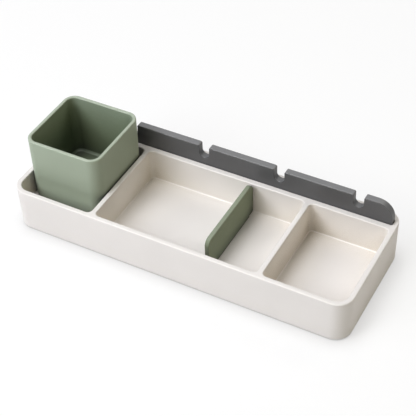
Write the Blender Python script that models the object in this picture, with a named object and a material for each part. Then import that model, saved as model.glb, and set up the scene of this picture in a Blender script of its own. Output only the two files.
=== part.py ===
"""Desk cable organizer: a compartment tray with a pen cup, a divider plate and a cable rail.

Metres, +Z up. The origin is on the desk under the middle of the tray. +X runs along the tray
from the pen cup to the end compartment, and +Y points to the cable rail at the rear.
"""
import math

import bmesh
import bpy

# Tray shell
TRAY_LENGTH = 0.3208
TRAY_DEPTH = 0.1212
TRAY_HEIGHT = 0.042
TRAY_CORNER_RADIUS = 0.015
TRAY_WALL = 0.0045
TRAY_RIM_RADIUS = 0.001
TRAY_LOWER_EDGE_RADIUS = 0.0016
TRAY_DRAFT = 0.0004

# Compartments, from the pen cup's well at -X to the end compartment at +X
CROSS_WALL = 0.0045
WELL_LENGTH = 0.076
END_LENGTH = 0.0723
REAR_RIM_DEPTH = 0.0220
COMPARTMENT_CORNER_RADIUS = 0.0045
COMPARTMENT_DRAFT = 0.0006
FLOOR_FILLET_RADIUS = 0.0012
FLOOR_LEVEL = 0.011
SEAT_LEVEL = 0.0175

# Cored underside: pockets under the floors and a stepped core under the rear rim
FLOOR_THICKNESS = 0.0032
RIM_ROOF = 0.0035
WEB = 0.005
POCKET_CORNER_RADIUS = 0.003
CORE_CORNER_RADIUS = 0.0009
CORE_STEP = 0.0004
CORE_REAR_WALL = 0.004
SLOT_WALL = 0.0025

# Feet, each in a round recess of its own boss
FOOT_RADIUS = 0.007
FOOT_THICKNESS = 0.003
FOOT_PROUD = 0.001
FOOT_EDGE_RADIUS = 0.0006
FOOT_CLEARANCE = 0.0003
BOSS_RADIUS = 0.0095
BOSS_INSET = 0.0122
BOSS_ROOT = 0.001
BOSS_LIFT = 0.0003

# Pen cup, square in the well, with its play on each side
CUP_SIDE_GAP = 0.00075
CUP_FRONT_GAP = 0.0177
CUP_REAR_GAP = 0.0025
CUP_HEIGHT = 0.0648
CUP_CORNER_RADIUS = 0.011
CUP_WALL = 0.0033
CUP_RIM_RADIUS = 0.0012
CUP_FLOOR = 0.0035
CUP_DRAFT = 0.0004
CUP_LOWER_EDGE_RADIUS = 0.002
CUP_FLOOR_FILLET_RADIUS = 0.003
CUP_BASE_RECESS = 0.0008
CUP_STANDING_RING = 0.005

# Divider plate, on a tongue in a groove of the middle floor
DIVIDER_THICKNESS = 0.004
DIVIDER_FRONT_GAP = 0.0116
DIVIDER_PROUD = 0.0018
DIVIDER_OFFSET = 0.0272
DIVIDER_TOP_RADIUS = 0.0065
DIVIDER_BOTTOM_RADIUS = 0.0035
DIVIDER_EDGE_RADIUS = 0.0004
TONGUE_DEPTH = 0.003
TONGUE_INSET = 0.008
GROOVE_RIB = 0.010
GROOVE_CORNER_RADIUS = 0.0005

# Cable rail, upright in a slot of the rear rim
RAIL_THICKNESS = 0.0065
RAIL_RISE = 0.0197
RAIL_SLOT_DEPTH = 0.015
RAIL_LEDGE = 0.0051
RAIL_END_GAP = 0.0044
RAIL_TOP_RADIUS = 0.015
RAIL_EDGE_RADIUS = 0.0005
SLOT_EDGE_RADIUS = 0.0005
SLOT_CORNER_RADIUS = 0.0015

# Cable notches, open at the top of the rail
NOTCH_COUNT = 4
NOTCH_PITCH = 0.0735
NOTCH_WIDTH = 0.0095
NOTCH_DEPTH = 0.0125
NOTCH_LIP_RADIUS = 0.0015
NOTCH_END_MARGIN = 0.031

# Play between pieces that touch, and how far a cutter runs past the face it leaves
SEAT_CLEARANCE = 0.0003
CUT_OVERRUN = 0.002

# Steps of a quarter turn
CORNER_STEPS = 8
EDGE_STEPS = 3
CIRCLE_STEPS = 32

# Levels and places that follow from the sizes above
TRAY_BASE = FOOT_PROUD
RIM = TRAY_BASE + TRAY_HEIGHT
LEFT = -TRAY_LENGTH / 2 + TRAY_WALL
RIGHT = TRAY_LENGTH / 2 - TRAY_WALL
WELL_END = LEFT + WELL_LENGTH
MIDDLE_START = WELL_END + CROSS_WALL
END_START = RIGHT - END_LENGTH
MIDDLE_END = END_START - CROSS_WALL
FRONT = -TRAY_DEPTH / 2 + TRAY_WALL
REAR = TRAY_DEPTH / 2 - REAR_RIM_DEPTH
FLOOR = TRAY_BASE + FLOOR_LEVEL
SEAT = TRAY_BASE + SEAT_LEVEL
RAIL_FRONT = REAR + RAIL_LEDGE + SEAT_CLEARANCE
RAIL_REAR = RAIL_FRONT + RAIL_THICKNESS
RAIL_LENGTH = NOTCH_PITCH * (NOTCH_COUNT - 1) + 2 * NOTCH_END_MARGIN
RAIL_RIGHT = RIGHT + TRAY_WALL - RAIL_END_GAP - SEAT_CLEARANCE
RAIL_LEFT = RAIL_RIGHT - RAIL_LENGTH
RAIL_TOP = RIM + RAIL_RISE
SLOT_FLOOR = RIM - RAIL_SLOT_DEPTH


def clear_scene():
    """Empty the file that the script runs in."""
    for item in list(bpy.data.objects):
        bpy.data.objects.remove(item, do_unlink=True)


def plastic(name, colour, roughness):
    """A Principled material for one moulding."""
    material = bpy.data.materials.new(name)
    material.use_nodes = True
    shader = material.node_tree.nodes["Principled BSDF"]
    shader.inputs["Base Color"].default_value = (*colour, 1.0)
    shader.inputs["Roughness"].default_value = roughness
    shader.inputs["Metallic"].default_value = 0.0
    return material


def make_object(name, bm, material=None):
    """Turn a bmesh into a smooth-shaded object with its faces pointing out."""
    bmesh.ops.recalc_face_normals(bm, faces=bm.faces)
    mesh = bpy.data.meshes.new(name)
    bm.to_mesh(mesh)
    bm.free()
    mesh.shade_smooth()
    mesh.set_sharp_from_angle(angle=math.radians(35))
    item = bpy.data.objects.new(name, mesh)
    bpy.context.scene.collection.objects.link(item)
    if material:
        mesh.materials.append(material)
    return item


def arc(centre, radius, start, end, steps):
    """Points on an arc in a plane, both ends included, angles in degrees."""
    angles = [math.radians(start + (end - start) * i / steps) for i in range(steps + 1)]
    return [(centre[0] + radius * math.cos(a), centre[1] + radius * math.sin(a)) for a in angles]


def rectangle_loop(bm, box, radii, inset, height):
    """Vertices round a rectangle with round corners, drawn in by an inset.

    The radii are those of the rear right, rear left, front left and front right corner.
    """
    left, right, front, rear = box
    corners = ((right, rear, -1, -1), (left, rear, 1, -1), (left, front, 1, 1), (right, front, -1, 1))
    points = []
    for i, (radius, (x, y, along, across)) in enumerate(zip(radii, corners)):
        centre = (x + along * radius, y + across * radius)
        points += arc(centre, radius - inset, 90 * i, 90 * (i + 1), CORNER_STEPS)
    return [bm.verts.new((x, y, height)) for x, y in points]


def circle_loop(bm, centre, radius, height):
    """Vertices round a circle."""
    points = arc(centre, radius, 0, 360, CIRCLE_STEPS)[:-1]
    return [bm.verts.new((x, y, height)) for x, y in points]


def loft(bm, loops):
    """Skin a row of loops and close its first and last one."""
    for lower, upper in zip(loops, loops[1:]):
        for i in range(len(lower)):
            bm.faces.new((lower[i - 1], lower[i], upper[i], upper[i - 1]))
    bm.faces.new(loops[0])
    bm.faces.new(loops[-1])


def moulded_block(bm, box, radii, profile):
    """A rounded block whose side follows (inset, height) pairs from bottom to top."""
    if not isinstance(radii, tuple):
        radii = (radii,) * 4
    loft(bm, [rectangle_loop(bm, box, radii, inset, height) for inset, height in profile])


def boolean(item, cutter, operation):
    """Cut or join with another object, which then only guides the shape."""
    modifier = item.modifiers.new(cutter.name, "BOOLEAN")
    modifier.operation = operation
    modifier.object = cutter
    cutter.hide_render = True
    cutter.display_type = "WIRE"


def round_edges(item, width):
    """Round the sharp edges of a plate."""
    modifier = item.modifiers.new("edges", "BEVEL")
    modifier.width = width
    modifier.segments = 2
    modifier.limit_method = "ANGLE"
    modifier.angle_limit = math.radians(60)


def compartment_profile(floor):
    """Side of a compartment: floor fillet, drafted wall, rounded rim, and out past the rim."""
    fillet = FLOOR_FILLET_RADIUS
    centre = (COMPARTMENT_DRAFT + fillet, floor + fillet)
    profile = arc(centre, fillet, 270, 180, EDGE_STEPS)
    centre = (-TRAY_RIM_RADIUS, RIM - TRAY_RIM_RADIUS)
    profile += arc(centre, TRAY_RIM_RADIUS, 0, 90, EDGE_STEPS)
    return profile + [(-TRAY_RIM_RADIUS, RIM + CUT_OVERRUN)]


def bays():
    """The three compartments as (start, end, floor level) along X."""
    return ((LEFT, WELL_END, SEAT), (MIDDLE_START, MIDDLE_END, FLOOR), (END_START, RIGHT, FLOOR))


def upper_cuts():
    """The compartments, and the slot that the cable rail stands in.

    The two corners that lie inside an outer corner follow it at the wall's thickness.
    """
    small = COMPARTMENT_CORNER_RADIUS
    outer = TRAY_CORNER_RADIUS - TRAY_WALL
    corners = ((small, small, outer, small), small, (small, small, small, outer))
    bm = bmesh.new()
    for (start, end, floor), radii in zip(bays(), corners):
        moulded_block(bm, (start, end, FRONT, REAR), radii, compartment_profile(floor))
    slot = (RAIL_LEFT - SEAT_CLEARANCE, RAIL_RIGHT + SEAT_CLEARANCE,
            RAIL_FRONT - SEAT_CLEARANCE, RAIL_REAR + SEAT_CLEARANCE)
    edge = arc((-SLOT_EDGE_RADIUS, RIM - SLOT_EDGE_RADIUS), SLOT_EDGE_RADIUS, 0, 90, EDGE_STEPS)
    profile = [(0, SLOT_FLOOR)] + edge + [(-SLOT_EDGE_RADIUS, RIM + CUT_OVERRUN)]
    moulded_block(bm, slot, SLOT_CORNER_RADIUS, profile)
    return make_object("upper_cuts", bm)


def under_pockets():
    """Pockets under the floors. The rib under the divider's groove splits the middle one."""
    small = POCKET_CORNER_RADIUS
    outer = TRAY_CORNER_RADIUS - TRAY_WALL
    corners = ((small, small, outer, small), small, small, (small, small, small, outer))
    rib_start = DIVIDER_OFFSET - GROOVE_RIB / 2
    well, middle, end = bays()
    spans = (well, (middle[0], rib_start, middle[2]), (rib_start + GROOVE_RIB, middle[1], middle[2]), end)
    bm = bmesh.new()
    for (start, stop, floor), radii in zip(spans, corners):
        profile = [(0, TRAY_BASE - CUT_OVERRUN), (0, floor - FLOOR_THICKNESS)]
        moulded_block(bm, (start, stop, FRONT, REAR), radii, profile)
    return make_object("under_pockets", bm)


def rear_cores(name, front, roof, step):
    """Cores under the rear rim, one behind each compartment, drawn in by a step.

    They stop where the tray's round corners begin.
    """
    bm = bmesh.new()
    rear = TRAY_DEPTH / 2 - CORE_REAR_WALL - step
    reach = TRAY_LENGTH / 2 - TRAY_CORNER_RADIUS
    for start, end, _ in bays():
        box = (max(start, -reach) + step, min(end, reach) - step, front, rear)
        moulded_block(bm, box, CORE_CORNER_RADIUS, [(0, TRAY_BASE - CUT_OVERRUN), (0, roof)])
    return make_object(name, bm)


def foot_places():
    """Name, centre and boss top of each foot."""
    x = TRAY_LENGTH / 2 - BOSS_INSET
    y = TRAY_DEPTH / 2 - BOSS_INSET
    rear_top = SLOT_FLOOR - FLOOR_THICKNESS
    return (("foot_front_left", (-x, -y), SEAT - FLOOR_THICKNESS), ("foot_rear_left", (-x, y), rear_top),
            ("foot_front_right", (x, -y), FLOOR - FLOOR_THICKNESS), ("foot_rear_right", (x, y), rear_top))


def foot_bosses():
    """Bosses that carry the feet, rooted in what is above them."""
    bm = bmesh.new()
    for _, centre, top in foot_places():
        loft(bm, [circle_loop(bm, centre, BOSS_RADIUS, z) for z in (TRAY_BASE + BOSS_LIFT, top + BOSS_ROOT)])
    return make_object("foot_bosses", bm)


def seats():
    """Foot recesses from below, and the groove of the divider's tongue from above."""
    bm = bmesh.new()
    recess_top = FOOT_THICKNESS + FOOT_CLEARANCE
    for _, centre, _ in foot_places():
        radius = FOOT_RADIUS + FOOT_CLEARANCE
        loft(bm, [circle_loop(bm, centre, radius, z) for z in (TRAY_BASE - CUT_OVERRUN, recess_top)])
    front, rear = tongue_span()
    half = DIVIDER_THICKNESS / 2 + SEAT_CLEARANCE
    box = (DIVIDER_OFFSET - half, DIVIDER_OFFSET + half, front - SEAT_CLEARANCE, rear + SEAT_CLEARANCE)
    groove = [(0, FLOOR - TONGUE_DEPTH - SEAT_CLEARANCE), (0, FLOOR + CUT_OVERRUN)]
    moulded_block(bm, box, GROOVE_CORNER_RADIUS, groove)
    return make_object("seats", bm)


def build_tray(material):
    """The tray moulding: rounded shell, compartments, rail slot, and cored underside."""
    edge = TRAY_LOWER_EDGE_RADIUS
    centre = (TRAY_DRAFT + edge, TRAY_BASE + edge)
    profile = arc(centre, edge, 270, 180, EDGE_STEPS)
    profile += arc((TRAY_RIM_RADIUS, RIM - TRAY_RIM_RADIUS), TRAY_RIM_RADIUS, 180, 90, EDGE_STEPS)
    bm = bmesh.new()
    box = (-TRAY_LENGTH / 2, TRAY_LENGTH / 2, -TRAY_DEPTH / 2, TRAY_DEPTH / 2)
    moulded_block(bm, box, TRAY_CORNER_RADIUS, profile)
    tray = make_object("tray_body", bm, material)
    boolean(tray, upper_cuts(), "DIFFERENCE")
    boolean(tray, under_pockets(), "DIFFERENCE")
    low_core = rear_cores("low_cores", REAR + WEB, SLOT_FLOOR - FLOOR_THICKNESS, 0)
    slot_back = RAIL_REAR + SEAT_CLEARANCE + SLOT_WALL
    high_core = rear_cores("high_cores", slot_back, RIM - RIM_ROOF, CORE_STEP)
    boolean(tray, low_core, "DIFFERENCE")
    boolean(tray, high_core, "DIFFERENCE")
    boolean(tray, foot_bosses(), "UNION")
    boolean(tray, seats(), "DIFFERENCE")


def build_feet(material):
    """Four soft discs, each half sunk in its recess."""
    for name, centre, _ in foot_places():
        edge = FOOT_EDGE_RADIUS
        rounding = arc((FOOT_RADIUS - edge, edge), edge, 270, 360, EDGE_STEPS)
        bm = bmesh.new()
        loops = [circle_loop(bm, (0, 0), radius, height) for radius, height in rounding]
        loops.append(circle_loop(bm, (0, 0), FOOT_RADIUS, FOOT_THICKNESS))
        loft(bm, loops)
        foot = make_object(name, bm, material)
        foot.location = (*centre, 0)


def build_cup(material):
    """The square pen cup: standing ring, rounded outside, rounded rim, drafted inside and floor."""
    rim = CUP_RIM_RADIUS
    edge = CUP_LOWER_EDGE_RADIUS
    fillet = CUP_FLOOR_FILLET_RADIUS
    ring = CUP_DRAFT + edge + CUP_STANDING_RING
    profile = [(ring + CUP_BASE_RECESS, CUP_BASE_RECESS), (ring, 0)]
    profile += arc((CUP_DRAFT + edge, edge), edge, 270, 180, EDGE_STEPS)
    profile += arc((rim, CUP_HEIGHT - rim), rim, 180, 90, EDGE_STEPS)
    profile += arc((CUP_WALL - rim, CUP_HEIGHT - rim), rim, 90, 0, EDGE_STEPS)
    inner_foot = CUP_WALL + CUP_DRAFT + fillet
    profile += arc((inner_foot, CUP_FLOOR + fillet), fillet, 180, 270, EDGE_STEPS)
    box = (LEFT + CUP_SIDE_GAP, WELL_END - CUP_SIDE_GAP, FRONT + CUP_FRONT_GAP, REAR - CUP_REAR_GAP)
    bm = bmesh.new()
    moulded_block(bm, box, CUP_CORNER_RADIUS, profile)
    cup = make_object("pen_cup", bm, material)
    cup.location = (0, 0, SEAT + SEAT_CLEARANCE)


def plate_from_outline(name, outline, depth, material):
    """A flat plate: an outline in X and Z, given its thickness about Y zero."""
    bm = bmesh.new()
    near = [bm.verts.new((x, -depth / 2, z)) for x, z in outline]
    far = [bm.verts.new((x, depth / 2, z)) for x, z in outline]
    loft(bm, [near, far])
    return make_object(name, bm, material)


def divider_span():
    """Front and rear end of the divider, along Y."""
    return FRONT + DIVIDER_FRONT_GAP, REAR - COMPARTMENT_DRAFT - SEAT_CLEARANCE


def tongue_span():
    """Front and rear end of the divider's tongue."""
    front, rear = divider_span()
    return front + TONGUE_INSET, rear - TONGUE_INSET


def build_divider(material):
    """The divider plate. Its long side is drawn along X and then turned along Y."""
    front, rear = divider_span()
    half = (rear - front) / 2
    foot = FLOOR + SEAT_CLEARANCE
    top = RIM + DIVIDER_PROUD
    tongue_foot = FLOOR - TONGUE_DEPTH
    tongue_half = half - TONGUE_INSET
    low = DIVIDER_BOTTOM_RADIUS
    high = DIVIDER_TOP_RADIUS
    outline = [(-tongue_half, foot), (-tongue_half, tongue_foot)]
    outline += [(tongue_half, tongue_foot), (tongue_half, foot)]
    outline += arc((half - low, foot + low), low, 270, 360, EDGE_STEPS)
    outline += arc((half - high, top - high), high, 0, 90, CORNER_STEPS)
    outline += arc((high - half, top - high), high, 90, 180, CORNER_STEPS)
    outline += arc((low - half, foot + low), low, 180, 270, EDGE_STEPS)
    divider = plate_from_outline("divider", outline, DIVIDER_THICKNESS, material)
    divider.location = (DIVIDER_OFFSET, (front + rear) / 2, 0)
    divider.rotation_euler = (0, 0, math.radians(90))
    round_edges(divider, DIVIDER_EDGE_RADIUS)


def notch_outline(centre):
    """One cable notch, from its right lip down round its foot and up to its left lip."""
    half = NOTCH_WIDTH / 2
    lip = NOTCH_LIP_RADIUS
    points = arc((centre + half + lip, RAIL_TOP - lip), lip, 90, 180, EDGE_STEPS)
    points += arc((centre, RAIL_TOP - NOTCH_DEPTH + half), half, 0, -180, 2 * CORNER_STEPS)
    points += arc((centre - half - lip, RAIL_TOP - lip), lip, 0, 90, EDGE_STEPS)
    return points


def build_rail(material):
    """The cable rail: a plate with round top corners and open notches, in the tray's slot."""
    radius = RAIL_TOP_RADIUS
    foot = SLOT_FLOOR + SEAT_CLEARANCE
    middle = (RAIL_LEFT + RAIL_RIGHT) / 2
    half = RAIL_LENGTH / 2
    outline = [(-half, foot), (half, foot)]
    outline += arc((half - radius, RAIL_TOP - radius), radius, 0, 90, CORNER_STEPS)
    for i in range(NOTCH_COUNT):
        outline += notch_outline(half - NOTCH_END_MARGIN - i * NOTCH_PITCH)
    outline += arc((radius - half, RAIL_TOP - radius), radius, 90, 180, CORNER_STEPS)
    rail = plate_from_outline("cable_rail", outline, RAIL_THICKNESS, material)
    rail.location = (middle, (RAIL_FRONT + RAIL_REAR) / 2, 0)
    round_edges(rail, RAIL_EDGE_RADIUS)


def main():
    """Build the whole organizer."""
    clear_scene()
    cream = plastic("tray_plastic", (0.80, 0.76, 0.71), 0.55)
    sage = plastic("sage_plastic", (0.29, 0.35, 0.27), 0.50)
    grey = plastic("rail_plastic", (0.085, 0.087, 0.087), 0.50)
    rubber = plastic("foot_rubber", (0.06, 0.06, 0.06), 0.85)
    build_tray(cream)
    build_feet(rubber)
    build_cup(sage)
    build_divider(sage)
    build_rail(grey)


main()
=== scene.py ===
"""Looks of the desk cable organizer: tray, pen cup, divider plate, cable rail and soft feet.

Run as a script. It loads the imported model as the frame, puts finely moulded pieces in
procedural plastics over its nodes, and adds a studio stage. Metres, +Z up, in the frame's axes.
"""
import math

import bmesh
import bpy
from bpy.props import FloatProperty, FloatVectorProperty, IntProperty, PointerProperty
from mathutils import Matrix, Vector


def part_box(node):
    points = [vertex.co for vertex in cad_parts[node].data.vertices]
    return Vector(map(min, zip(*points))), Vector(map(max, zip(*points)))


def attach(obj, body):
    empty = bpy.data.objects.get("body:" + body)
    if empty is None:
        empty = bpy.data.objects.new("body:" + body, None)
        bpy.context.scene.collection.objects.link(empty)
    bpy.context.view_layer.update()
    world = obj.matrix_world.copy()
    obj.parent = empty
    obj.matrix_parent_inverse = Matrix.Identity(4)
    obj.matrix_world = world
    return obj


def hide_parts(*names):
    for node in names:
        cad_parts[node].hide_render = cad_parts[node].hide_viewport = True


bl_info = {
    "name": "Desk Cable Organizer",
    "version": (1, 0, 0),
    "blender": (4, 5, 0),
    "location": "3D View > Sidebar > Organizer",
    "description": "Finished pieces of a desk cable organizer, and a studio stage around them",
    "category": "Add Mesh",
}

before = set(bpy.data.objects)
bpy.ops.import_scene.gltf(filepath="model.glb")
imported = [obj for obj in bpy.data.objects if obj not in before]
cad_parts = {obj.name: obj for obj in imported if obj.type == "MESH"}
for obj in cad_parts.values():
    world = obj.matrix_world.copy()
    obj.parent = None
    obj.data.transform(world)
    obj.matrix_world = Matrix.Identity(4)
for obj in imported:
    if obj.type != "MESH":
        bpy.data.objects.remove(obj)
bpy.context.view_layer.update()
TRAY_LOW, TRAY_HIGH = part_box("tray_body")
CUP_LOW, CUP_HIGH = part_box("pen_cup")
DIVIDER_LOW, DIVIDER_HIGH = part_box("divider")
RAIL_LOW, RAIL_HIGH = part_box("cable_rail")
FEET = ("foot_front_left", "foot_rear_left", "foot_front_right", "foot_rear_right")

# Steps of a quarter turn at the corners and along the small edges
CORNER_STEPS = 16
EDGE_STEPS = 6
CIRCLE_STEPS = 96
# How far a cutter runs past the face it leaves
CUT_OVERRUN = 0.002
# Angles between faces above which an edge stays crisp, and above which a plate's edge is rounded
CRISP_ANGLE = math.radians(32)
ROUNDED_ANGLE = math.radians(60)

# Underside of the tray: corner radii of the pockets and of the cores under the rear rim, and how
# far a core's upper step is drawn in
POCKET_CORNER = 0.003
CORE_CORNER = 0.0009
CORE_STEP = 0.0004
# Plastic round the cores: behind them, between them and the compartments, and above them
CORE_REAR_WALL = 0.004
WEB = 0.005
RIM_ROOF = 0.0035
# The rail's slot: its corner radius, and the plastic between it and the cores behind it
SLOT_CORNER = 0.0015
SLOT_WALL = 0.0025
# The divider's groove: width of the rib under it, and its corner radius
GROOVE_RIB = 0.010
GROOVE_CORNER = 0.0005
# Bosses of the feet: radius, how far they reach into the plastic above, how far their faces stay
# above the tray's base, and the gap round a foot or the divider's tongue
BOSS_RADIUS = 0.0095
BOSS_ROOT = 0.001
BOSS_LIFT = 0.0003
SEAT_PLAY = 0.0003

# Soft feet: rounding of the lower edge, depth of the rings in the face, and the rings as
# (share of the radius, sunk or not)
FOOT_EDGE = 0.0006
FOOT_RING_DEPTH = 0.00025
FOOT_RINGS = ((0.30, 0), (0.36, 1), (0.44, 1), (0.50, 0),
              (0.62, 0), (0.68, 1), (0.76, 1), (0.82, 0))


def length(name, description, default):
    """A length that a user may change."""
    return FloatProperty(name=name, description=description, default=default, min=0.0,
                         precision=5, unit="LENGTH", subtype="DISTANCE")


def amount(name, description, default, high=1.0):
    """A plain number that a user may change."""
    return FloatProperty(name=name, description=description, default=default, min=0.0, max=high,
                         precision=3)


def colour(name, description, default):
    """A colour that a user may change."""
    return FloatVectorProperty(name=name, description=description, default=default, size=3,
                               min=0.0, max=2.0, subtype="COLOR")


class ORGANIZER_PG_tray(bpy.types.PropertyGroup):
    """Sizes of the tray moulding."""

    wall: length("Wall", "Thickness of the outer walls", 0.0045)
    cross_wall: length("Cross wall", "Thickness of the walls between compartments", 0.0045)
    rear_rim: length("Rear rim", "Depth of the rear rim that holds the cable rail", 0.0220)
    corner: length("Corner radius", "Radius of the tray's upright corners", 0.015)
    rim_edge: length("Rim radius", "Rounding of the rim's edges", 0.0010)
    lower_edge: length("Lower edge radius", "Rounding of the lower edge", 0.0016)
    draft: length("Draft", "How far the foot of the outside is drawn in", 0.0004)
    inner_draft: length("Inner draft", "How far the foot of a compartment is drawn in", 0.0006)
    inner_corner: length("Compartment corner radius", "Radius of a compartment's corners", 0.0045)
    fillet: length("Floor fillet", "Rounding between a compartment's wall and floor", 0.0012)
    well: length("Cup well length", "Length of the pen cup's well", 0.076)
    end: length("End compartment length", "Length of the compartment at the far end", 0.0723)
    floor: length("Floor level", "Height of the floors above the tray's base", 0.011)
    seat: length("Cup seat level", "Height of the cup's seat above the tray's base", 0.0175)
    skin: length("Floor thickness", "Thickness of plastic under the floors", 0.0032)


class ORGANIZER_PG_cup(bpy.types.PropertyGroup):
    """Sizes of the pen cup."""

    wall: length("Wall", "Thickness of the cup's walls", 0.0033)
    corner: length("Corner radius", "Radius of the cup's upright corners", 0.011)
    rim_edge: length("Rim radius", "Rounding of the rim's edges", 0.0012)
    lower_edge: length("Lower edge radius", "Rounding of the lower edge", 0.002)
    draft: length("Draft", "How far the foot of each side is drawn in", 0.0004)
    floor: length("Floor thickness", "Thickness of the cup's floor", 0.0035)
    fillet: length("Floor fillet", "Rounding between the inner walls and the floor", 0.003)
    ring: length("Standing ring", "Width of the ring that the cup stands on", 0.005)
    recess: length("Base recess", "How far the base is drawn up inside its ring", 0.0008)


class ORGANIZER_PG_divider(bpy.types.PropertyGroup):
    """Sizes of the divider plate."""

    top: length("Top corner radius", "Radius of the upper corners", 0.0065)
    bottom: length("Bottom corner radius", "Radius of the lower corners", 0.0035)
    edge: length("Edge radius", "Rounding of the plate's long edges", 0.0006)
    tongue: length("Tongue depth", "How far the tongue reaches below the floor", 0.003)
    tongue_inset: length("Tongue inset", "How far the tongue stops short of the ends", 0.008)


class ORGANIZER_PG_rail(bpy.types.PropertyGroup):
    """Sizes of the cable rail."""

    corner: length("Corner radius", "Radius of the rail's upper corners", 0.015)
    edge: length("Edge radius", "Rounding of the plate's long edges", 0.0005)
    notches: IntProperty(name="Notches", description="How many cables the rail holds",
                         default=4, min=1, max=8)
    pitch: length("Notch pitch", "Distance from notch to notch", 0.0735)
    width: length("Notch width", "Width of a notch", 0.0095)
    depth: length("Notch depth", "Depth of a notch", 0.0125)
    lip: length("Lip radius", "Rounding of a notch's upper lips", 0.0015)
    margin: length("End margin", "Distance from the rail's end to its last notch", 0.031)
    slot_depth: length("Slot depth", "How deep the rail stands in the rear rim", 0.015)
    slot_edge: length("Slot edge radius", "Rounding of the slot's edge", 0.0005)
    play: length("Play", "Gap between the rail and its slot", 0.0003)


class ORGANIZER_PG_finish(bpy.types.PropertyGroup):
    """Colours and surface of the mouldings."""

    cream: colour("Tray colour", "Colour of the tray", (0.789, 0.757, 0.731))
    sage: colour("Cup colour", "Colour of the pen cup", (0.341, 0.396, 0.305))
    moss: colour("Divider colour", "Colour of the divider", (0.190, 0.225, 0.144))
    grey: colour("Rail colour", "Colour of the cable rail", (0.081, 0.082, 0.085))
    rubber: colour("Foot colour", "Colour of the soft feet", (0.060, 0.060, 0.060))
    roughness: amount("Roughness", "Roughness of the mouldings", 0.6)
    rail_roughness: amount("Rail roughness", "Roughness of the cable rail", 0.45)
    rubber_roughness: amount("Foot roughness", "Roughness of the soft feet", 0.85)
    grain: length("Grain height", "Height of the fine moulded grain", 0.00003)
    variation: amount("Variation", "Share by which the colour varies over a moulding", 0.03)
    # The rubbed rims' lightening is a painted sheen on the rims and top faces; their smoothing is
    # wear from hands
    rub_and_painted_sheen: amount("Rubbed rims", "How far the rims are lightened and smoothed by hands", 0.8)
    # The lighter small roundings are painted highlights; their gloss is polish
    polish_and_painted_highlight: amount("Polished roundings", "How far small roundings are lighter and glossier", 0.8)
    # Painted shade where faces nearly touch: in the gaps between pieces and in tight spots, within
    # the reaches below
    painted_gap_shade: amount("Seams", "How far the colour darkens where pieces nearly touch", 0.9)
    gap_shade_reach: length("Seam reach", "Distance over which the tray and rail darken", 0.004)
    sage_gap_shade_reach: length("Sage seam reach", "Distance over which the cup and divider darken", 0.016)
    shine: amount("Shine", "Specular level of the mouldings", 0.4)
    rail_shine: amount("Rail shine", "Specular level of the cable rail", 0.6)
    # The nook settings paint light and shade in the nooks: a painted bounce light on the tray,
    # painted shade on the sage pieces and in the rail's notches
    nooks: amount("Nooks", "How far the tints of the nooks show", 1.0)
    nook_reach: length("Nook reach", "Depth of what counts as a nook", 0.09)
    cream_nook_painted_light: colour("Tray nook tint", "Tint of the tray's nooks", (1.04, 1.025, 0.98))
    sage_nook_painted_shade: colour("Sage nook tint", "Tint of the sage pieces' nooks", (0.64, 0.70, 0.62))
    grey_nook_painted_shade: colour("Rail nook tint", "Tint of the rail's notches", (0.15, 0.15, 0.15))


class ORGANIZER_PG_studio(bpy.types.PropertyGroup):
    """Light and floor of the stage."""

    key: amount("Key light", "Light of the soft box at the front left", 0.445, 5.0)
    high: amount("High light", "Light of the soft box high at the front left", 0.246, 5.0)
    top: amount("Top light", "Light of the soft box overhead", 0.273, 5.0)
    left: amount("Left light", "Light of the soft box at the left", 0.149, 5.0)
    rear: amount("Rear light", "Light of the soft box behind", 0.136, 5.0)
    side: amount("Side light", "Light of the soft box at the rear right", 0.159, 5.0)
    right: amount("Right light", "Light of the low soft box at the right", 0.092, 5.0)
    front: amount("Front light", "Light of the low soft box in front", 0.075, 5.0)
    lift: amount("Floor lift", "Light that the floor adds from below", 0.034)
    bounce: amount("Floor bounce", "Share of light that the floor throws back at the pieces", 0.8)
    shade: amount("Floor shade", "How strongly the floor shows the organizer's shadow", 0.26)
    # Contact and spread paint shade on the floor round the organizer's foot
    contact: length("Contact reach", "How far the dark line at the foot reaches", 0.0015)
    contact_shade: amount("Contact shade", "How dark the line at the foot is", 0.3)
    spread: length("Spread reach", "How far the soft shade round the foot reaches", 0.02)
    spread_shade: amount("Spread shade", "How dark the soft shade round the foot is", 0.2)
    glow: amount("Floor glow", "Brightness of the floor where nothing lights it", 0.722)


class ORGANIZER_PG_all(bpy.types.PropertyGroup):
    """All settings of the organizer."""

    tray: PointerProperty(type=ORGANIZER_PG_tray)
    cup: PointerProperty(type=ORGANIZER_PG_cup)
    divider: PointerProperty(type=ORGANIZER_PG_divider)
    rail: PointerProperty(type=ORGANIZER_PG_rail)
    finish: PointerProperty(type=ORGANIZER_PG_finish)
    studio: PointerProperty(type=ORGANIZER_PG_studio)


# Mesh building


def arc(centre, radius, start, end, steps):
    """Points on an arc in a plane, both ends included, angles in degrees."""
    angles = [math.radians(start + (end - start) * i / steps) for i in range(steps + 1)]
    return [(centre[0] + radius * math.cos(a), centre[1] + radius * math.sin(a)) for a in angles]


def rectangle_loop(bm, box, radii, inset, height):
    """Vertices round a rectangle with round corners, drawn in by an inset.

    The radii are those of the rear right, rear left, front left and front right corner.
    """
    left, right, front, rear = box
    corners = ((right, rear, -1, -1), (left, rear, 1, -1),
               (left, front, 1, 1), (right, front, -1, 1))
    points = []
    for i, (radius, (x, y, along, across)) in enumerate(zip(radii, corners)):
        centre = (x + along * radius, y + across * radius)
        points += arc(centre, radius - inset, 90 * i, 90 * (i + 1), CORNER_STEPS)
    return [bm.verts.new((x, y, height)) for x, y in points]


def circle_loop(bm, centre, radius, height):
    """Vertices round a circle."""
    points = arc(centre, radius, 0, 360, CIRCLE_STEPS)[:-1]
    return [bm.verts.new((x, y, height)) for x, y in points]


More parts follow.
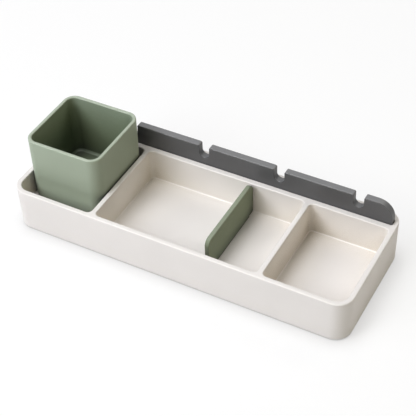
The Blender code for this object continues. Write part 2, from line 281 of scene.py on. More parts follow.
def loft(bm, loops):
    """Skin a row of loops and close its first and last one."""
    for lower, upper in zip(loops, loops[1:]):
        for i in range(len(lower)):
            bm.faces.new((lower[i - 1], lower[i], upper[i], upper[i - 1]))
    bm.faces.new(loops[0])
    bm.faces.new(loops[-1])


def moulded_block(bm, box, radii, profile):
    """A rounded block whose side follows (inset, height) pairs from bottom to top."""
    if not isinstance(radii, tuple):
        radii = (radii,) * 4
    loft(bm, [rectangle_loop(bm, box, radii, inset, height) for inset, height in profile])


def make_object(name, bm):
    """Turn a bmesh into an object of the scene with its faces pointing out."""
    bmesh.ops.recalc_face_normals(bm, faces=bm.faces)
    mesh = bpy.data.meshes.new(name)
    bm.to_mesh(mesh)
    bm.free()
    item = bpy.data.objects.new(name, mesh)
    bpy.context.scene.collection.objects.link(item)
    return item


def boolean(item, cutter, operation):
    """Cut or join with another object, which is cleared away when the piece settles."""
    modifier = item.modifiers.new(cutter.name, "BOOLEAN")
    modifier.operation = operation
    modifier.object = cutter


def round_edges(item, width):
    """Round the long edges of a plate."""
    modifier = item.modifiers.new("edges", "BEVEL")
    modifier.width = width
    modifier.segments = EDGE_STEPS
    modifier.limit_method = "ANGLE"
    modifier.angle_limit = ROUNDED_ANGLE


def settle(item):
    """Apply a piece's modifiers, clear away its cutters and shade it by the area of its faces."""
    graph = bpy.context.evaluated_depsgraph_get()
    mesh = bpy.data.meshes.new_from_object(item.evaluated_get(graph))
    cutters = [m.object for m in item.modifiers if m.type == "BOOLEAN"]
    item.modifiers.clear()
    item.data = mesh
    for cutter in cutters:
        bpy.data.objects.remove(cutter, do_unlink=True)
    mesh.shade_smooth()
    mesh.set_sharp_from_angle(angle=CRISP_ANGLE)
    weighted = item.modifiers.new("even_shading", "WEIGHTED_NORMAL")
    weighted.keep_sharp = True
    weighted.mode = "FACE_AREA"


def finish_piece(item, body, slot, material, *nodes):
    """Settle a piece, give it its finish, and let it stand for its nodes on their body."""
    settle(item)
    item.data.materials.clear()
    item.data.materials.append(material)
    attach(item, body)
    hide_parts(*nodes)


def mark_polish_and_painted_highlights(item, axis, bands, spared=None):
    """Mark the small roundings of a piece for extra gloss and painted highlights; they lie between
    two levels along an axis.

    Each band gives the level where a rounding leaves its face, the level where it ends, and how
    strong the mark is half way round. The spared box is left plain. The turn round the quarter
    circle is found from the level by its cosine.
    """
    mark = item.data.attributes.new("polish_and_painted_highlight", "FLOAT", "POINT")
    for vertex, value in zip(item.data.vertices, mark.data):
        if spared and all(spared[0][i] < vertex.co[i] < spared[1][i] for i in (0, 1)):
            continue
        for start, end, strength in bands:
            share = (vertex.co[axis] - start) / (end - start)
            if 0 < share < 1:
                value.value = strength * math.sin(2 * math.acos(1 - share))


# Finishes

# Noise of the patterns: scale, detail and roughness
FLOW_MARKS = (22.0, 3.0, 0.5)
FLECKS = (1400.0, 2.0, 0.6)
WEAR_AND_SHEEN_PATCHES = (90.0, 4.0, 0.65)
GRAIN = (2600.0, 2.0, 0.5)
MOTTLE = (300.0, 4.0, 0.5)
PIT_SCALE = 1800.0
# Levels of a noise between which its pattern fades in: soft marks, sparse flecks, patches of wear
# and painted sheen
SOFT_LEVELS = (0.3, 0.7)
FLECK_LEVELS = (0.62, 0.8)
WEAR_AND_SHEEN_LEVELS = (0.35, 0.65)
# How dark a fleck is, and its strength as a multiple of the colour's variation
FLECK_SHADE = 0.6
FLECK_STRENGTH = 2
# Open share of the surroundings over which the painted light and shade of a nook and the painted
# shade of a tight corner fade out
NOOK_LEVELS = (0.2, 0.75)
CORNER_LEVELS = (0.12, 0.42)
# Colour of the painted shade in the tightest corners of a moulding
CORNER_PAINTED_SHADE = (0.62, 0.585, 0.525, 1.0)
# How dark the painted shade in a gap is, the open share at which it is darkest, and the one at
# which it ends on the tray and rail, and on the cup and divider
GAP_SHADE_DARKNESS = 0.1
GAP_SHADE_FULL = 0.12
GAP_SHADE_ENDS = 0.42
SAGE_GAP_SHADE_ENDS = 1.0
# Depths below a rim between which the rubbing and its painted sheen fade in, and the least share
# of them in a patch
RUB_DEPTHS = (0.0015, 0.0002)
LEAST_WEAR_AND_SHEEN = 0.7
# How far towards white a rubbed rim is lightened, a painted sheen, and how much smoother hands
# have rubbed it
PAINTED_SHEEN_LIFT = 0.07
RUBBED_GLOSS = 0.15
# Levels of the polish mark, how much lighter a rounding is as a painted highlight and how much
# smoother its polish makes it, and how strongly the tray's rim and foot are marked
POLISH_AND_HIGHLIGHT_LEVELS = (0.2, 0.9)
PAINTED_HIGHLIGHT_LIFT = 1.12
POLISH_GLOSS = 0.42
RIM_POLISH_AND_HIGHLIGHT = 0.7
# How far the roughness of a moulding and of the rubber wanders, and the rubber's two shades
DULL_SPREAD = 0.04
RUBBER_SPREAD = 0.08
MOTTLE_SHADES = (0.8, 1.3)
# How strongly the grain and the rubber's pits show as relief
GRAIN_RELIEF = 0.35
PIT_RELIEF = 0.4
# Rays that look for nooks and for gaps, where light and shade are painted
NOOK_SAMPLES = 8
GAP_SHADE_SAMPLES = 32


def add_node(tree, kind, **values):
    """A shader node with its properties and unlinked sockets set by name."""
    item = tree.nodes.new(kind)
    for name, value in values.items():
        if name in item.bl_rna.properties:
            setattr(item, name, value)
        else:
            item.inputs[name.replace("_", " ")].default_value = value
    return item


def feed(tree, socket, value):
    """Give an input a plain value, or link it to an output."""
    if isinstance(value, bpy.types.NodeSocket):
        tree.links.new(value, socket)
    else:
        socket.default_value = value


def calculate(tree, operation, *values):
    """The result of a Math node for numbers, each plain or an output."""
    item = add_node(tree, "ShaderNodeMath", operation=operation)
    for socket, value in zip(item.inputs, values):
        feed(tree, socket, value)
    return item.outputs["Value"]


def ramp(tree, source, low, high, start, end):
    """Map a value from one range to another, with smooth ends."""
    item = add_node(tree, "ShaderNodeMapRange", interpolation_type="SMOOTHSTEP",
                    From_Min=low, From_Max=high, To_Min=start, To_Max=end)
    tree.links.new(source, item.inputs["Value"])
    return item.outputs["Result"]


def noise(tree, place, pattern):
    """The level of a noise pattern at a place."""
    scale, detail, roughness = pattern
    item = add_node(tree, "ShaderNodeTexNoise", Scale=scale, Detail=detail, Roughness=roughness)
    tree.links.new(place, item.inputs["Vector"])
    return item.outputs["Fac"]


def blend_colours(tree, share, first, second, how="MIX"):
    """Mix two colours, each plain or an output."""
    item = add_node(tree, "ShaderNodeMix", data_type="RGBA", blend_type=how)
    tree.links.new(share, item.inputs["Factor"])
    # The node's colours are its inputs 6 and 7 and its output 2
    feed(tree, item.inputs[6], first)
    feed(tree, item.inputs[7], second)
    return item.outputs[2]


def raise_surface(tree, shader, height, relief, depth):
    """Let a pattern show as fine relief."""
    bump = add_node(tree, "ShaderNodeBump", Strength=relief, Distance=depth)
    tree.links.new(height, bump.inputs["Height"])
    tree.links.new(bump.outputs["Normal"], shader.inputs["Normal"])


def scaled(tint, share):
    """A colour made lighter or darker, with its alpha."""
    return (*[min(1.0, channel * share) for channel in tint], 1.0)


def new_finish(name):
    """A new material, its node tree, its shader, and the place on the piece."""
    material = bpy.data.materials.new(name)
    material.use_nodes = True
    tree = material.node_tree
    place = add_node(tree, "ShaderNodeTexCoord").outputs["Object"]
    return material, tree, tree.nodes["Principled BSDF"], place


def moulded_plastic(name, tint, nook_painted_light_and_shade, roughness, shine, rim_level, gap_shade_reach, gap_shade_open):
    """Moulded plastic: fine spark-eroded grain, faint flow marks, painted light and shade in the
    nooks, rims that hands have made smoother, with a painted sheen, and small roundings that are
    glossier, with painted highlights.

    It darkens with painted shade where other faces are within the gap shade's reach, until it is
    open enough.
    """
    settings = bpy.context.scene.organizer.finish
    material, tree, shader, place = new_finish(name)
    shader.inputs["Specular IOR Level"].default_value = shine

    flow = ramp(tree, noise(tree, place, FLOW_MARKS), *SOFT_LEVELS, 0.0, 1.0)
    base = blend_colours(tree, flow, scaled(tint, 1 - settings.variation), scaled(tint, 1.0))
    fleck = ramp(tree, noise(tree, place, FLECKS), *FLECK_LEVELS,
                 0.0, settings.variation * FLECK_STRENGTH)
    base = blend_colours(tree, fleck, base, scaled(tint, FLECK_SHADE))

    # Painted light and shade in the nooks: a lighter, warmer painted bounce light on the tray,
    # painted shade on the cup, divider and rail; then painted shade in the tightest corners
    nook = add_node(tree, "ShaderNodeAmbientOcclusion", samples=NOOK_SAMPLES, only_local=True,
                    Distance=settings.nook_reach)
    for levels, shade in ((NOOK_LEVELS, (*nook_painted_light_and_shade, 1.0)), (CORNER_LEVELS, CORNER_PAINTED_SHADE)):
        deep = ramp(tree, nook.outputs["AO"], *levels, settings.nooks, 0.0)
        base = blend_colours(tree, deep, base, shade, "MULTIPLY")

    # Painted sheen: near the top level, on the rims and top faces, the colour is lightened towards
    # white in patches; hands have also rubbed it smoother
    split = add_node(tree, "ShaderNodeSeparateXYZ")
    tree.links.new(place, split.inputs["Vector"])
    start, full = [rim_level - depth for depth in RUB_DEPTHS]
    rim = ramp(tree, split.outputs["Z"], start, full, 0.0, settings.rub_and_painted_sheen)
    patchy = noise(tree, place, WEAR_AND_SHEEN_PATCHES)
    wear_and_painted_sheen = calculate(tree, "MULTIPLY", rim, ramp(tree, patchy, *WEAR_AND_SHEEN_LEVELS, LEAST_WEAR_AND_SHEEN, 1.0))
    painted_sheen_colour = (*[channel + (1 - channel) * PAINTED_SHEEN_LIFT for channel in tint], 1.0)
    base = blend_colours(tree, wear_and_painted_sheen, base, painted_sheen_colour)

    # Painted highlights: the marked small roundings are lighter, and polished glossier
    mark = add_node(tree, "ShaderNodeAttribute", attribute_name="polish_and_painted_highlight")
    polished_and_painted_highlight = ramp(tree, mark.outputs["Fac"], *POLISH_AND_HIGHLIGHT_LEVELS, 0.0, settings.polish_and_painted_highlight)
    base = blend_colours(tree, polished_and_painted_highlight, base, scaled(tint, PAINTED_HIGHLIGHT_LIFT))

    # Painted shade where other faces are near, darkest in the tightest gaps, in a dark shade of
    # the nook colour
    gap_shade = add_node(tree, "ShaderNodeAmbientOcclusion", samples=GAP_SHADE_SAMPLES, Distance=gap_shade_reach)
    gap_shade_share = ramp(tree, gap_shade.outputs["AO"], GAP_SHADE_FULL, gap_shade_open, settings.painted_gap_shade, 0.0)
    base = blend_colours(tree, gap_shade_share, base, scaled(nook_painted_light_and_shade, GAP_SHADE_DARKNESS))
    tree.links.new(base, shader.inputs["Base Color"])

    dull = ramp(tree, patchy, *SOFT_LEVELS, roughness - DULL_SPREAD, roughness + DULL_SPREAD)
    smooth = calculate(tree, "MULTIPLY_ADD", wear_and_painted_sheen, -RUBBED_GLOSS, dull)
    glossy = calculate(tree, "MULTIPLY_ADD", polished_and_painted_highlight, -POLISH_GLOSS, smooth)
    tree.links.new(glossy, shader.inputs["Roughness"])
    raise_surface(tree, shader, noise(tree, place, GRAIN), GRAIN_RELIEF, settings.grain)
    return material


def soft_rubber(name, tint, roughness):
    """Soft rubber: dull, slightly mottled, with a fine pitted skin."""
    material, tree, shader, place = new_finish(name)
    mottle = noise(tree, place, MOTTLE)
    share = ramp(tree, mottle, *SOFT_LEVELS, 0.0, 1.0)
    base = blend_colours(tree, share, *[scaled(tint, shade) for shade in MOTTLE_SHADES])
    tree.links.new(base, shader.inputs["Base Color"])
    dull = ramp(tree, mottle, *SOFT_LEVELS, roughness - RUBBER_SPREAD, roughness + RUBBER_SPREAD)
    tree.links.new(dull, shader.inputs["Roughness"])
    pits = add_node(tree, "ShaderNodeTexVoronoi", Scale=PIT_SCALE)
    tree.links.new(place, pits.inputs["Vector"])
    grain = bpy.context.scene.organizer.finish.grain
    raise_surface(tree, shader, pits.outputs["Distance"], PIT_RELIEF, grain)
    return material


def finish_named(name):
    """The finish of that name, made on its first use."""
    made = bpy.data.materials.get(name)
    if made:
        return made
    settings = bpy.context.scene.organizer.finish
    if name == "foot_rubber":
        return soft_rubber(name, settings.rubber, settings.rubber_roughness)
    surface = (settings.roughness, settings.shine)
    rail_surface = (settings.rail_roughness, settings.rail_shine)
    gap_shade = (settings.gap_shade_reach, GAP_SHADE_ENDS)
    sage_gap_shade = (settings.sage_gap_shade_reach, SAGE_GAP_SHADE_ENDS)
    plastics = {
        "cream_plastic":
            (settings.cream, settings.cream_nook_painted_light, *surface, TRAY_HIGH.z, *gap_shade),
        "sage_cup_plastic":
            (settings.sage, settings.sage_nook_painted_shade, *surface, CUP_HIGH.z, *sage_gap_shade),
        "sage_divider_plastic":
            (settings.moss, settings.sage_nook_painted_shade, *surface, DIVIDER_HIGH.z, *sage_gap_shade),
        "grey_rail_plastic":
            (settings.grey, settings.grey_nook_painted_shade, *rail_surface, RAIL_HIGH.z, *gap_shade),
    }
    return moulded_plastic(name, *plastics[name])


# Tray


def bays(tray):
    """The three compartments as (start, end, floor level) along X, from the cup's well."""
    left = TRAY_LOW.x + tray.wall
    right = TRAY_HIGH.x - tray.wall
    base = TRAY_LOW.z
    well_end = left + tray.well
    end_start = right - tray.end
    return ((left, well_end, base + tray.seat),
            (well_end + tray.cross_wall, end_start - tray.cross_wall, base + tray.floor),
            (end_start, right, base + tray.floor))


def bay_radii(tray, small):
    """Corner radii of the three compartments, which follow the tray's own front corners."""
    outer = tray.corner - tray.wall
    return (small, small, outer, small), (small,) * 4, (small, small, small, outer)


def upper_cuts(tray, rail):
    """The compartments, and the slot that the cable rail stands in."""
    rim = TRAY_HIGH.z
    front = TRAY_LOW.y + tray.wall
    rear = TRAY_HIGH.y - tray.rear_rim
    fillet = tray.fillet
    bm = bmesh.new()
    for (start, end, floor), radii in zip(bays(tray), bay_radii(tray, tray.inner_corner)):
        profile = arc((tray.inner_draft + fillet, floor + fillet), fillet, 270, 180, EDGE_STEPS)
        profile += arc((-tray.rim_edge, rim - tray.rim_edge), tray.rim_edge, 0, 90, EDGE_STEPS)
        profile.append((-tray.rim_edge, rim + CUT_OVERRUN))
        moulded_block(bm, (start, end, front, rear), radii, profile)
    slot = (RAIL_LOW.x - rail.play, RAIL_HIGH.x + rail.play,
            RAIL_LOW.y - rail.play, RAIL_HIGH.y + rail.play)
    edge = arc((-rail.slot_edge, rim - rail.slot_edge), rail.slot_edge, 0, 90, EDGE_STEPS)
    profile = [(0, rim - rail.slot_depth)] + edge + [(-rail.slot_edge, rim + CUT_OVERRUN)]
    moulded_block(bm, slot, SLOT_CORNER, profile)
    return make_object("upper_cuts", bm)


def under_pockets(tray):
    """Pockets under the floors. The rib under the divider's groove splits the middle one."""
    rib = (DIVIDER_LOW.x + DIVIDER_HIGH.x - GROOVE_RIB) / 2
    front = TRAY_LOW.y + tray.wall
    rear = TRAY_HIGH.y - tray.rear_rim
    well, middle, end = zip(bays(tray), bay_radii(tray, POCKET_CORNER))
    (start, stop, floor), radii = middle
    halves = ((start, rib, floor), radii), ((rib + GROOVE_RIB, stop, floor), radii)
    bm = bmesh.new()
    for (start, stop, floor), radii in (well, *halves, end):
        profile = [(0, TRAY_LOW.z - CUT_OVERRUN), (0, floor - tray.skin)]
        moulded_block(bm, (start, stop, front, rear), radii, profile)
    return make_object("under_pockets", bm)


def rear_cores(tray, name, front, roof, step):
    """Cores under the rear rim, one behind each compartment, drawn in by a step.

    They stop where the tray's round corners begin.
    """
    bm = bmesh.new()
    rear = TRAY_HIGH.y - CORE_REAR_WALL - step
    first, last = TRAY_LOW.x + tray.corner, TRAY_HIGH.x - tray.corner
    for start, end, _ in bays(tray):
        box = (max(start, first) + step, min(end, last) - step, front, rear)
        moulded_block(bm, box, CORE_CORNER, [(0, TRAY_LOW.z - CUT_OVERRUN), (0, roof)])
    return make_object(name, bm)


def foot_places():
    """Centre, radius and top of each foot, from the frame."""
    places = {}
    for name in FEET:
        low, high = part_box(name)
        centre = ((low.x + high.x) / 2, (low.y + high.y) / 2)
        places[name] = (centre, (high.x - low.x) / 2, high.z)
    return places


def foot_bosses(tray, rail):
    """Bosses that carry the feet, rooted in what is above them."""
    tops = {"foot_front_left": TRAY_LOW.z + tray.seat, "foot_front_right": TRAY_LOW.z + tray.floor}
    slot_floor = TRAY_HIGH.z - rail.slot_depth
    bm = bmesh.new()
    for name, (centre, _, _) in foot_places().items():
        top = tops.get(name, slot_floor) - tray.skin + BOSS_ROOT
        loft(bm, [circle_loop(bm, centre, BOSS_RADIUS, z) for z in (TRAY_LOW.z + BOSS_LIFT, top)])
    return make_object("foot_bosses", bm)


def seats(tray, divider):
    """Foot recesses from below, and the groove of the divider's tongue from above."""
    bm = bmesh.new()
    for centre, radius, top in foot_places().values():
        heights = (TRAY_LOW.z - CUT_OVERRUN, top + SEAT_PLAY)
        loft(bm, [circle_loop(bm, centre, radius + SEAT_PLAY, z) for z in heights])
    floor = TRAY_LOW.z + tray.floor
    inset = divider.tongue_inset - SEAT_PLAY
    box = (DIVIDER_LOW.x - SEAT_PLAY, DIVIDER_HIGH.x + SEAT_PLAY,
           DIVIDER_LOW.y + inset, DIVIDER_HIGH.y - inset)
    groove = [(0, floor - divider.tongue - SEAT_PLAY), (0, floor + CUT_OVERRUN)]
    moulded_block(bm, box, GROOVE_CORNER, groove)
    return make_object("seats", bm)


class ORGANIZER_OT_tray(bpy.types.Operator):
    """Build the tray moulding with its compartments, rail slot and cored underside"""

    bl_idname = "organizer.tray"
    bl_label = "Tray"

    def execute(self, context):
        settings = context.scene.organizer
        tray, rail, divider = settings.tray, settings.rail, settings.divider
        rim, base, edge = TRAY_HIGH.z, TRAY_LOW.z, tray.lower_edge
        profile = arc((tray.draft + edge, base + edge), edge, 270, 180, EDGE_STEPS)
        profile += arc((tray.rim_edge, rim - tray.rim_edge), tray.rim_edge, 180, 90, EDGE_STEPS)
        bm = bmesh.new()
        box = (TRAY_LOW.x, TRAY_HIGH.x, TRAY_LOW.y, TRAY_HIGH.y)
        moulded_block(bm, box, tray.corner, profile)
        item = make_object("tray_moulding", bm)
        boolean(item, upper_cuts(tray, rail), "DIFFERENCE")
        boolean(item, under_pockets(tray), "DIFFERENCE")
        low_front = TRAY_HIGH.y - tray.rear_rim + WEB
        high_front = RAIL_HIGH.y + rail.play + SLOT_WALL
        low = rear_cores(tray, "low_cores", low_front, rim - rail.slot_depth - tray.skin, 0)
        high = rear_cores(tray, "high_cores", high_front, rim - RIM_ROOF, CORE_STEP)
        boolean(item, low, "DIFFERENCE")
        boolean(item, high, "DIFFERENCE")
        boolean(item, foot_bosses(tray, rail), "UNION")
        boolean(item, seats(tray, divider), "DIFFERENCE")
        finish_piece(item, "tray", "tray_plastic", finish_named("cream_plastic"), "tray_body")
        # The rim, the lower edge and the floor fillets are marked for polish and painted
        # highlights
        bands = [(rim, rim - tray.rim_edge, RIM_POLISH_AND_HIGHLIGHT), (base, base + edge, RIM_POLISH_AND_HIGHLIGHT)]
        for floor in (base + tray.floor, base + tray.seat):
            bands.append((floor, floor + tray.fillet, 1.0))
        reach = Vector((1, 1, 0)) * (rail.play + 2 * rail.slot_edge)
        mark_polish_and_painted_highlights(item, 2, bands, (RAIL_LOW - reach, RAIL_HIGH + reach))
        return {"FINISHED"}


class ORGANIZER_OT_feet(bpy.types.Operator):
    """Build the four soft feet, each with two shallow rings in its face"""

    bl_idname = "organizer.feet"
    bl_label = "Feet"

    def execute(self, context):
        for name, (centre, radius, top) in foot_places().items():
            edge = FOOT_EDGE
            bm = bmesh.new()
            loops = [circle_loop(bm, centre, radius * share, FOOT_RING_DEPTH * sunk)
                     for share, sunk in FOOT_RINGS]
            rounding = arc((radius - edge, edge), edge, 270, 360, EDGE_STEPS)
            loops += [circle_loop(bm, centre, out, height) for out, height in rounding]
            loops.append(circle_loop(bm, centre, radius, top))
            loft(bm, loops)
            item = make_object(name.replace("foot", "soft_foot"), bm)
            finish_piece(item, "tray", "foot_rubber", finish_named("foot_rubber"), name)
        return {"FINISHED"}


class ORGANIZER_OT_cup(bpy.types.Operator):
    """Build the square pen cup with its standing ring and rounded rim"""

    bl_idname = "organizer.cup"
    bl_label = "Pen cup"

    def execute(self, context):
        cup = context.scene.organizer.cup
        base, top = CUP_LOW.z, CUP_HIGH.z
        rim, edge, fillet = cup.rim_edge, cup.lower_edge, cup.fillet
        ring = cup.draft + edge + cup.ring
        profile = [(ring + cup.recess, base + cup.recess), (ring, base)]
        profile += arc((cup.draft + edge, base + edge), edge, 270, 180, EDGE_STEPS)
        profile += arc((rim, top - rim), rim, 180, 90, EDGE_STEPS)
        profile += arc((cup.wall - rim, top - rim), rim, 90, 0, EDGE_STEPS)
        inner = (cup.wall + cup.draft + fillet, base + cup.floor + fillet)
        profile += arc(inner, fillet, 180, 270, EDGE_STEPS)
        bm = bmesh.new()
        box = (CUP_LOW.x, CUP_HIGH.x, CUP_LOW.y, CUP_HIGH.y)
        moulded_block(bm, box, cup.corner, profile)
        item = make_object("pen_cup_moulding", bm)
        finish_piece(item, "cup", "sage_plastic", finish_named("sage_cup_plastic"), "pen_cup")
        floor = base + cup.floor
        bands = ((top, top - rim, 1.0), (base, base + edge, 1.0), (floor, floor + fillet, 1.0))
        mark_polish_and_painted_highlights(item, 2, bands)
        return {"FINISHED"}


def plate_from_outline(name, outline, lower, upper, across):
    """A flat plate from an outline, given its thickness across X or Y."""
    bm = bmesh.new()
    loops = []
    for level in (lower, upper):
        points = [(level, a, z) if across == "X" else (a, level, z) for a, z in outline]
        loops.append([bm.verts.new(point) for point in points])
    loft(bm, loops)
    return make_object(name, bm)


class ORGANIZER_OT_divider(bpy.types.Operator):
    """Build the divider plate with its round upper corners and the tongue it stands on"""

    bl_idname = "organizer.divider"
    bl_label = "Divider"

    def execute(self, context):
        settings = context.scene.organizer
        divider = settings.divider
        foot = TRAY_LOW.z + settings.tray.floor + SEAT_PLAY
        front, rear, top = DIVIDER_LOW.y, DIVIDER_HIGH.y, DIVIDER_HIGH.z
        inset, low, high = divider.tongue_inset, divider.bottom, divider.top
        outline = [(front + inset, foot), (front + inset, DIVIDER_LOW.z)]
        outline += [(rear - inset, DIVIDER_LOW.z), (rear - inset, foot)]
        outline += arc((rear - low, foot + low), low, 270, 360, EDGE_STEPS)
        outline += arc((rear - high, top - high), high, 0, 90, CORNER_STEPS)
        outline += arc((front + high, top - high), high, 90, 180, CORNER_STEPS)
        outline += arc((front + low, foot + low), low, 180, 270, EDGE_STEPS)
        item = plate_from_outline("divider_plate", outline, DIVIDER_LOW.x, DIVIDER_HIGH.x, "X")
        round_edges(item, divider.edge)
        material = finish_named("sage_divider_plastic")
        finish_piece(item, "divider_plate", "sage_plastic", material, "divider")
        left, right = DIVIDER_LOW.x, DIVIDER_HIGH.x
        edges = ((left, left + divider.edge, 1.0), (right, right - divider.edge, 1.0))
        mark_polish_and_painted_highlights(item, 0, edges)
        return {"FINISHED"}


def notch_outline(rail, centre):
    """One cable notch, from its right lip down round its foot and up to its left lip."""
    half, lip, top = rail.width / 2, rail.lip, RAIL_HIGH.z
    points = arc((centre + half + lip, top - lip), lip, 90, 180, EDGE_STEPS)
    points += arc((centre, top - rail.depth + half), half, 0, -180, 2 * CORNER_STEPS)
    points += arc((centre - half - lip, top - lip), lip, 0, 90, EDGE_STEPS)
    return points


class ORGANIZER_OT_rail(bpy.types.Operator):
    """Build the cable rail with its open notches and round upper corners"""

    bl_idname = "organizer.rail"
    bl_label = "Cable rail"

    def execute(self, context):
        rail = context.scene.organizer.rail
        radius, top = rail.corner, RAIL_HIGH.z
        left, right = RAIL_LOW.x, RAIL_HIGH.x
        outline = [(left, RAIL_LOW.z), (right, RAIL_LOW.z)]
        outline += arc((right - radius, top - radius), radius, 0, 90, CORNER_STEPS)
        for i in range(rail.notches):
            outline += notch_outline(rail, right - rail.margin - i * rail.pitch)
        outline += arc((left + radius, top - radius), radius, 90, 180, CORNER_STEPS)
        item = plate_from_outline("rail_plate", outline, RAIL_LOW.y, RAIL_HIGH.y, "Y")
        round_edges(item, rail.edge)
        finish_piece(item, "rail", "rail_plastic", finish_named("grey_rail_plastic"), "cable_rail")
        front, rear = RAIL_LOW.y, RAIL_HIGH.y
        edges = ((front, front + rail.edge, 1.0), (rear, rear - rail.edge, 1.0))
        mark_polish_and_painted_highlights(item, 1, edges)
        return {"FINISHED"}


# Stage

WHITE = (1.0, 1.0, 1.0, 1.0)
BLACK = (0.0, 0.0, 0.0, 1.0)
FLOOR_RADIUS = 6.0
# Colour of the shade at the organizer's foot, the open share over which it fades out, and the
# rays that look for it
SHADE_COLOUR = (0.25, 0.22, 0.19, 1.0)
SHADE_LEVELS = (0.4, 1.0)
SHADE_SAMPLES = 16
# Camera: place, turn in degrees, lens and sensor in millimetres, and the nearest distance seen
CAMERA_PLACE = (0.36853, -0.63033, 0.71016)
CAMERA_TURN = (47.2, 1.836, 28.302)
CAMERA_LENS = 99.47
SENSOR = 36.0
CLIP_START = 0.01
# The point that the soft boxes face, and how far from it they stand
AIM = (0.0, 0.0, 0.03)
LIGHT_DISTANCE = 2.2
# Soft boxes: turn from the front to the right and rise above the floor in degrees, width and tint
SOFT_BOXES = {
    "key": (-30, 35, 1.0, (0.985, 1.0, 1.045)),
    "high": (-30, 60, 1.0, (0.99, 1.0, 1.02)),
    "top": (-90, 78, 1.0, (1.0, 1.0, 1.0)),
    "left": (-60, 40, 1.0, (0.965, 1.0, 1.13)),
    "rear": (-160, 50, 1.6, (1.0, 1.0, 1.02)),
    "side": (150, 45, 1.0, (1.03, 1.0, 0.93)),
    "right": (90, 20, 1.0, (1.17, 1.0, 0.62)),
    "front": (0, 30, 1.0, (1.08, 1.0, 0.72)),
}


def mix_shaders(tree, share, first, second):
    """Go from one shader to another by a share."""
    item = add_node(tree, "ShaderNodeMixShader")
    for socket, value in zip(item.inputs, (share, first, second)):
        tree.links.new(value, socket)
    return item.outputs["Shader"]


def glowing_grey(tree, grey, glow):
    """A dull grey surface that also glows white."""
    dull = add_node(tree, "ShaderNodeBsdfDiffuse", Color=(grey, grey, grey, 1.0))
    light = add_node(tree, "ShaderNodeEmission", Color=WHITE, Strength=glow)
    both = add_node(tree, "ShaderNodeAddShader")
    tree.links.new(dull.outputs["BSDF"], both.inputs[0])
    tree.links.new(light.outputs["Emission"], both.inputs[1])
    return both.outputs["Shader"]


def seen_directly(tree):
    """One where the camera sees a thing, itself or mirrored or through glass, and else zero."""
    rays = add_node(tree, "ShaderNodeLightPath").outputs
    share = calculate(tree, "MAXIMUM", rays["Is Camera Ray"], rays["Is Glossy Ray"])
    return calculate(tree, "MAXIMUM", share, rays["Is Transmission Ray"])


def studio_floor(settings):
    """A wide round floor that the camera sees pale and that throws light back at the pieces."""
    bm = bmesh.new()
    bm.faces.new(circle_loop(bm, (0, 0), FLOOR_RADIUS, 0))
    floor = make_object("studio_floor", bm)
    material = bpy.data.materials.new("studio_floor")
    material.use_nodes = True
    tree = material.node_tree
    tree.nodes.remove(tree.nodes["Principled BSDF"])
    surface = mix_shaders(tree, seen_directly(tree),
                          glowing_grey(tree, settings.bounce, settings.lift),
                          glowing_grey(tree, settings.shade, settings.glow))
    # Painted shade round the organizer's foot: a dark dull surface is mixed in where the floor is
    # hemmed in, as a narrow line and a wider soft shade
    shades = []
    for reach, shade in ((settings.contact, settings.contact_shade),
                         (settings.spread, settings.spread_shade)):
        near = add_node(tree, "ShaderNodeAmbientOcclusion", samples=SHADE_SAMPLES, Distance=reach)
        shades.append(ramp(tree, near.outputs["AO"], *SHADE_LEVELS, shade, 0.0))
    dark = add_node(tree, "ShaderNodeBsdfDiffuse", Color=SHADE_COLOUR)
    surface = mix_shaders(tree, calculate(tree, "ADD", *shades), surface, dark.outputs["BSDF"])
    tree.links.new(surface, tree.nodes["Material Output"].inputs["Surface"])
    floor.data.materials.append(material)


def studio_world(scene):
    """A white backdrop that lights nothing by itself."""
    world = bpy.data.worlds.new("studio")
    world.use_nodes = True
    tree = world.node_tree
    dark = tree.nodes["Background"]
    dark.inputs["Color"].default_value = BLACK
    white = add_node(tree, "ShaderNodeBackground", Color=WHITE, Strength=1.0)
    backdrop = mix_shaders(tree, seen_directly(tree), dark.outputs["Background"],
                           white.outputs["Background"])
    tree.links.new(backdrop, tree.nodes["World Output"].inputs["Surface"])
    scene.world = world


def studio_light(name, light):
    """A round soft box. Its light is what it alone throws on a white face turned to it."""
    turn, rise, size, tint = SOFT_BOXES[name]
    turn, rise = math.radians(turn), math.radians(rise)
    flat = math.cos(rise)
    away = Vector((math.sin(turn) * flat, -math.cos(turn) * flat, math.sin(rise)))
    lamp = bpy.data.lights.new(name, "AREA")
    lamp.shape = "DISK"
    lamp.size = size
    lamp.energy = light * (math.pi * LIGHT_DISTANCE) ** 2
    lamp.color = tint
    item = bpy.data.objects.new(name, lamp)
    item.location = away * LIGHT_DISTANCE + Vector(AIM)
    item.rotation_euler = away.to_track_quat("Z", "Y").to_euler()
    bpy.context.scene.collection.objects.link(item)


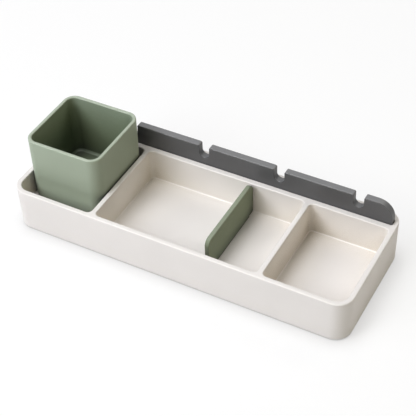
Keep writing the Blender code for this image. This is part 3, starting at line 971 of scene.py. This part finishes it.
class ORGANIZER_OT_stage(bpy.types.Operator):
    """Set up the floor, the lights, the backdrop, the view settings and the camera"""

    bl_idname = "organizer.stage"
    bl_label = "Stage"

    def execute(self, context):
        scene = context.scene
        settings = scene.organizer.studio
        scene.view_settings.view_transform = "Standard"
        studio_floor(settings)
        studio_world(scene)
        for name in SOFT_BOXES:
            studio_light(name, getattr(settings, name))
        lens = bpy.data.cameras.new("camera")
        lens.sensor_width = SENSOR
        lens.lens = CAMERA_LENS
        lens.clip_start = CLIP_START
        camera = bpy.data.objects.new("camera", lens)
        camera.location = CAMERA_PLACE
        camera.rotation_euler = [math.radians(turn) for turn in CAMERA_TURN]
        scene.collection.objects.link(camera)
        scene.camera = camera
        return {"FINISHED"}


class ORGANIZER_PT_panel(bpy.types.Panel):
    """Settings and builders of the organizer"""

    bl_idname = "ORGANIZER_PT_panel"
    bl_label = "Desk Cable Organizer"
    bl_space_type = "VIEW_3D"
    bl_region_type = "UI"
    bl_category = "Organizer"

    def draw(self, context):
        for group, operator in GROUPS:
            box = self.layout.box()
            settings = getattr(context.scene.organizer, group)
            for name in settings.bl_rna.properties.keys():
                if name not in ("name", "rna_type"):
                    box.prop(settings, name)
            box.operator(operator)


GROUPS = (("tray", "organizer.tray"), ("cup", "organizer.cup"), ("divider", "organizer.divider"),
          ("rail", "organizer.rail"), ("finish", "organizer.feet"), ("studio", "organizer.stage"))

CLASSES = (ORGANIZER_PG_tray, ORGANIZER_PG_cup, ORGANIZER_PG_divider, ORGANIZER_PG_rail,
           ORGANIZER_PG_finish, ORGANIZER_PG_studio, ORGANIZER_PG_all, ORGANIZER_OT_tray,
           ORGANIZER_OT_feet, ORGANIZER_OT_cup, ORGANIZER_OT_divider, ORGANIZER_OT_rail,
           ORGANIZER_OT_stage, ORGANIZER_PT_panel)


def register():
    """Register the classes and hang the settings on the scene."""
    for item in CLASSES:
        bpy.utils.register_class(item)
    bpy.types.Scene.organizer = PointerProperty(type=ORGANIZER_PG_all)


def unregister():
    """Take the settings and the classes away again."""
    del bpy.types.Scene.organizer
    for item in reversed(CLASSES):
        bpy.utils.unregister_class(item)


def main():
    """Build every piece and the stage."""
    register()
    bpy.ops.organizer.tray()
    bpy.ops.organizer.feet()
    bpy.ops.organizer.cup()
    bpy.ops.organizer.divider()
    bpy.ops.organizer.rail()
    bpy.ops.organizer.stage()


if __name__ == "__main__":
    main()
